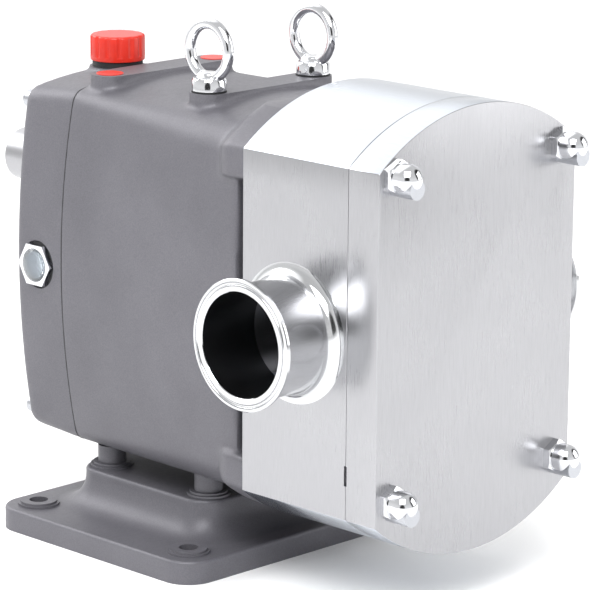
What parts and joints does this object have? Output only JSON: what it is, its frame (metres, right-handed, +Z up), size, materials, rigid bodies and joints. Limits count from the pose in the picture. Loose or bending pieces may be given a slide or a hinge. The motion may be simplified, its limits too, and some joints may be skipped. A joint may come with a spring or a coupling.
{
  "type": "rotary lobe pump",
  "caption": "Sanitary rotary lobe pump: timed three-lobe rotors in a steel rotor case, carried by a cast gear case on a foot plate.",
  "frame": {"origin": "middle of the four foot bolt holes, on the mounting face under the foot plate", "axes": "+Z up, -Y towards the front cover over the rotors, +Y along the drive shaft, the ports face -X and +X"},
  "size_m": [0.2968, 0.4995, 0.3913],
  "materials": {
    "grey_cast": "satin painted casting",
    "brushed_stainless": "brushed",
    "polished_stainless": "polished",
    "steel": "machined",
    "bearing_steel": "ground",
    "black_rubber": "matte",
    "red_plastic": "gloss",
    "sight_lens": "clear"
  },
  "bodies": {
    "pump": {"blanking_plugs": "red_plastic", "case_studs": "steel", "cover_gasket": "black_rubber", "cover_o_ring": "black_rubber", "dome_nuts": "polished_stainless", "drain_plug": "steel", "drive_shaft_seal": "black_rubber", "eye_bolt_washers": "black_rubber", "filler_gasket": "black_rubber", "front_cover": "brushed_stainless", "gear_case": "grey_cast", "left_eye_bolt": "polished_stainless", "left_port": "brushed_stainless", "lower_front_outer_race": "bearing_steel", "lower_oil_seal": "black_rubber", "lower_rear_outer_race": "bearing_steel", "lower_seal_seat": "steel", "pedestal": "grey_cast", "pedestal_posts": "grey_cast", "pedestal_screws": "steel", "rear_cover": "grey_cast", "rear_cover_screws": "steel", "right_eye_bolt": "polished_stainless", "right_port": "brushed_stainless", "rotor_case": "brushed_stainless", "sight_glass_body": "polished_stainless", "sight_glass_gasket": "black_rubber", "sight_glass_lens": "sight_lens", "upper_front_outer_race": "bearing_steel", "upper_oil_seal": "black_rubber", "upper_rear_outer_race": "bearing_steel", "upper_seal_seat": "steel"},
    "drive_rotor": {"drive_shaft": "brushed_stainless", "upper_front_inner_race": "bearing_steel", "upper_front_rollers": "bearing_steel", "upper_gear_key": "steel", "upper_locknut": "steel", "upper_rear_inner_race": "bearing_steel", "upper_rear_rollers": "bearing_steel", "upper_rotor": "brushed_stainless", "upper_rotor_key": "steel", "upper_rotor_nut": "brushed_stainless", "upper_seal_ring": "steel", "upper_timing_gear": "steel"},
    "driven_rotor": {"driven_shaft": "brushed_stainless", "lower_front_inner_race": "bearing_steel", "lower_front_rollers": "bearing_steel", "lower_gear_key": "steel", "lower_locknut": "steel", "lower_rear_inner_race": "bearing_steel", "lower_rear_rollers": "bearing_steel", "lower_rotor": "brushed_stainless", "lower_rotor_key": "steel", "lower_rotor_nut": "brushed_stainless", "lower_seal_ring": "steel", "lower_timing_gear": "steel"},
    "filler_cap": {"filler_cap": "red_plastic"}
  },
  "joints": [
    {"name": "drive_spin", "type": "hinge", "parent": "pump", "child": "drive_rotor", "pos_m": [0, 0, 0.251], "axis": [0, 1, 0], "continuous": true},
    {"name": "driven_spin", "type": "hinge", "parent": "pump", "child": "driven_rotor", "pos_m": [0, 0, 0.139], "axis": [0, 1, 0], "continuous": true},
    {"name": "cap_turn", "type": "hinge", "parent": "pump", "child": "filler_cap", "pos_m": [-0.005, 0.0955, 0.34], "axis": [0, 0, 1], "range_deg": [0, 1080]}
  ],
  "couplings": [
    {"joint": "driven_spin", "follows": "drive_spin", "ratio": -1}
  ]
}
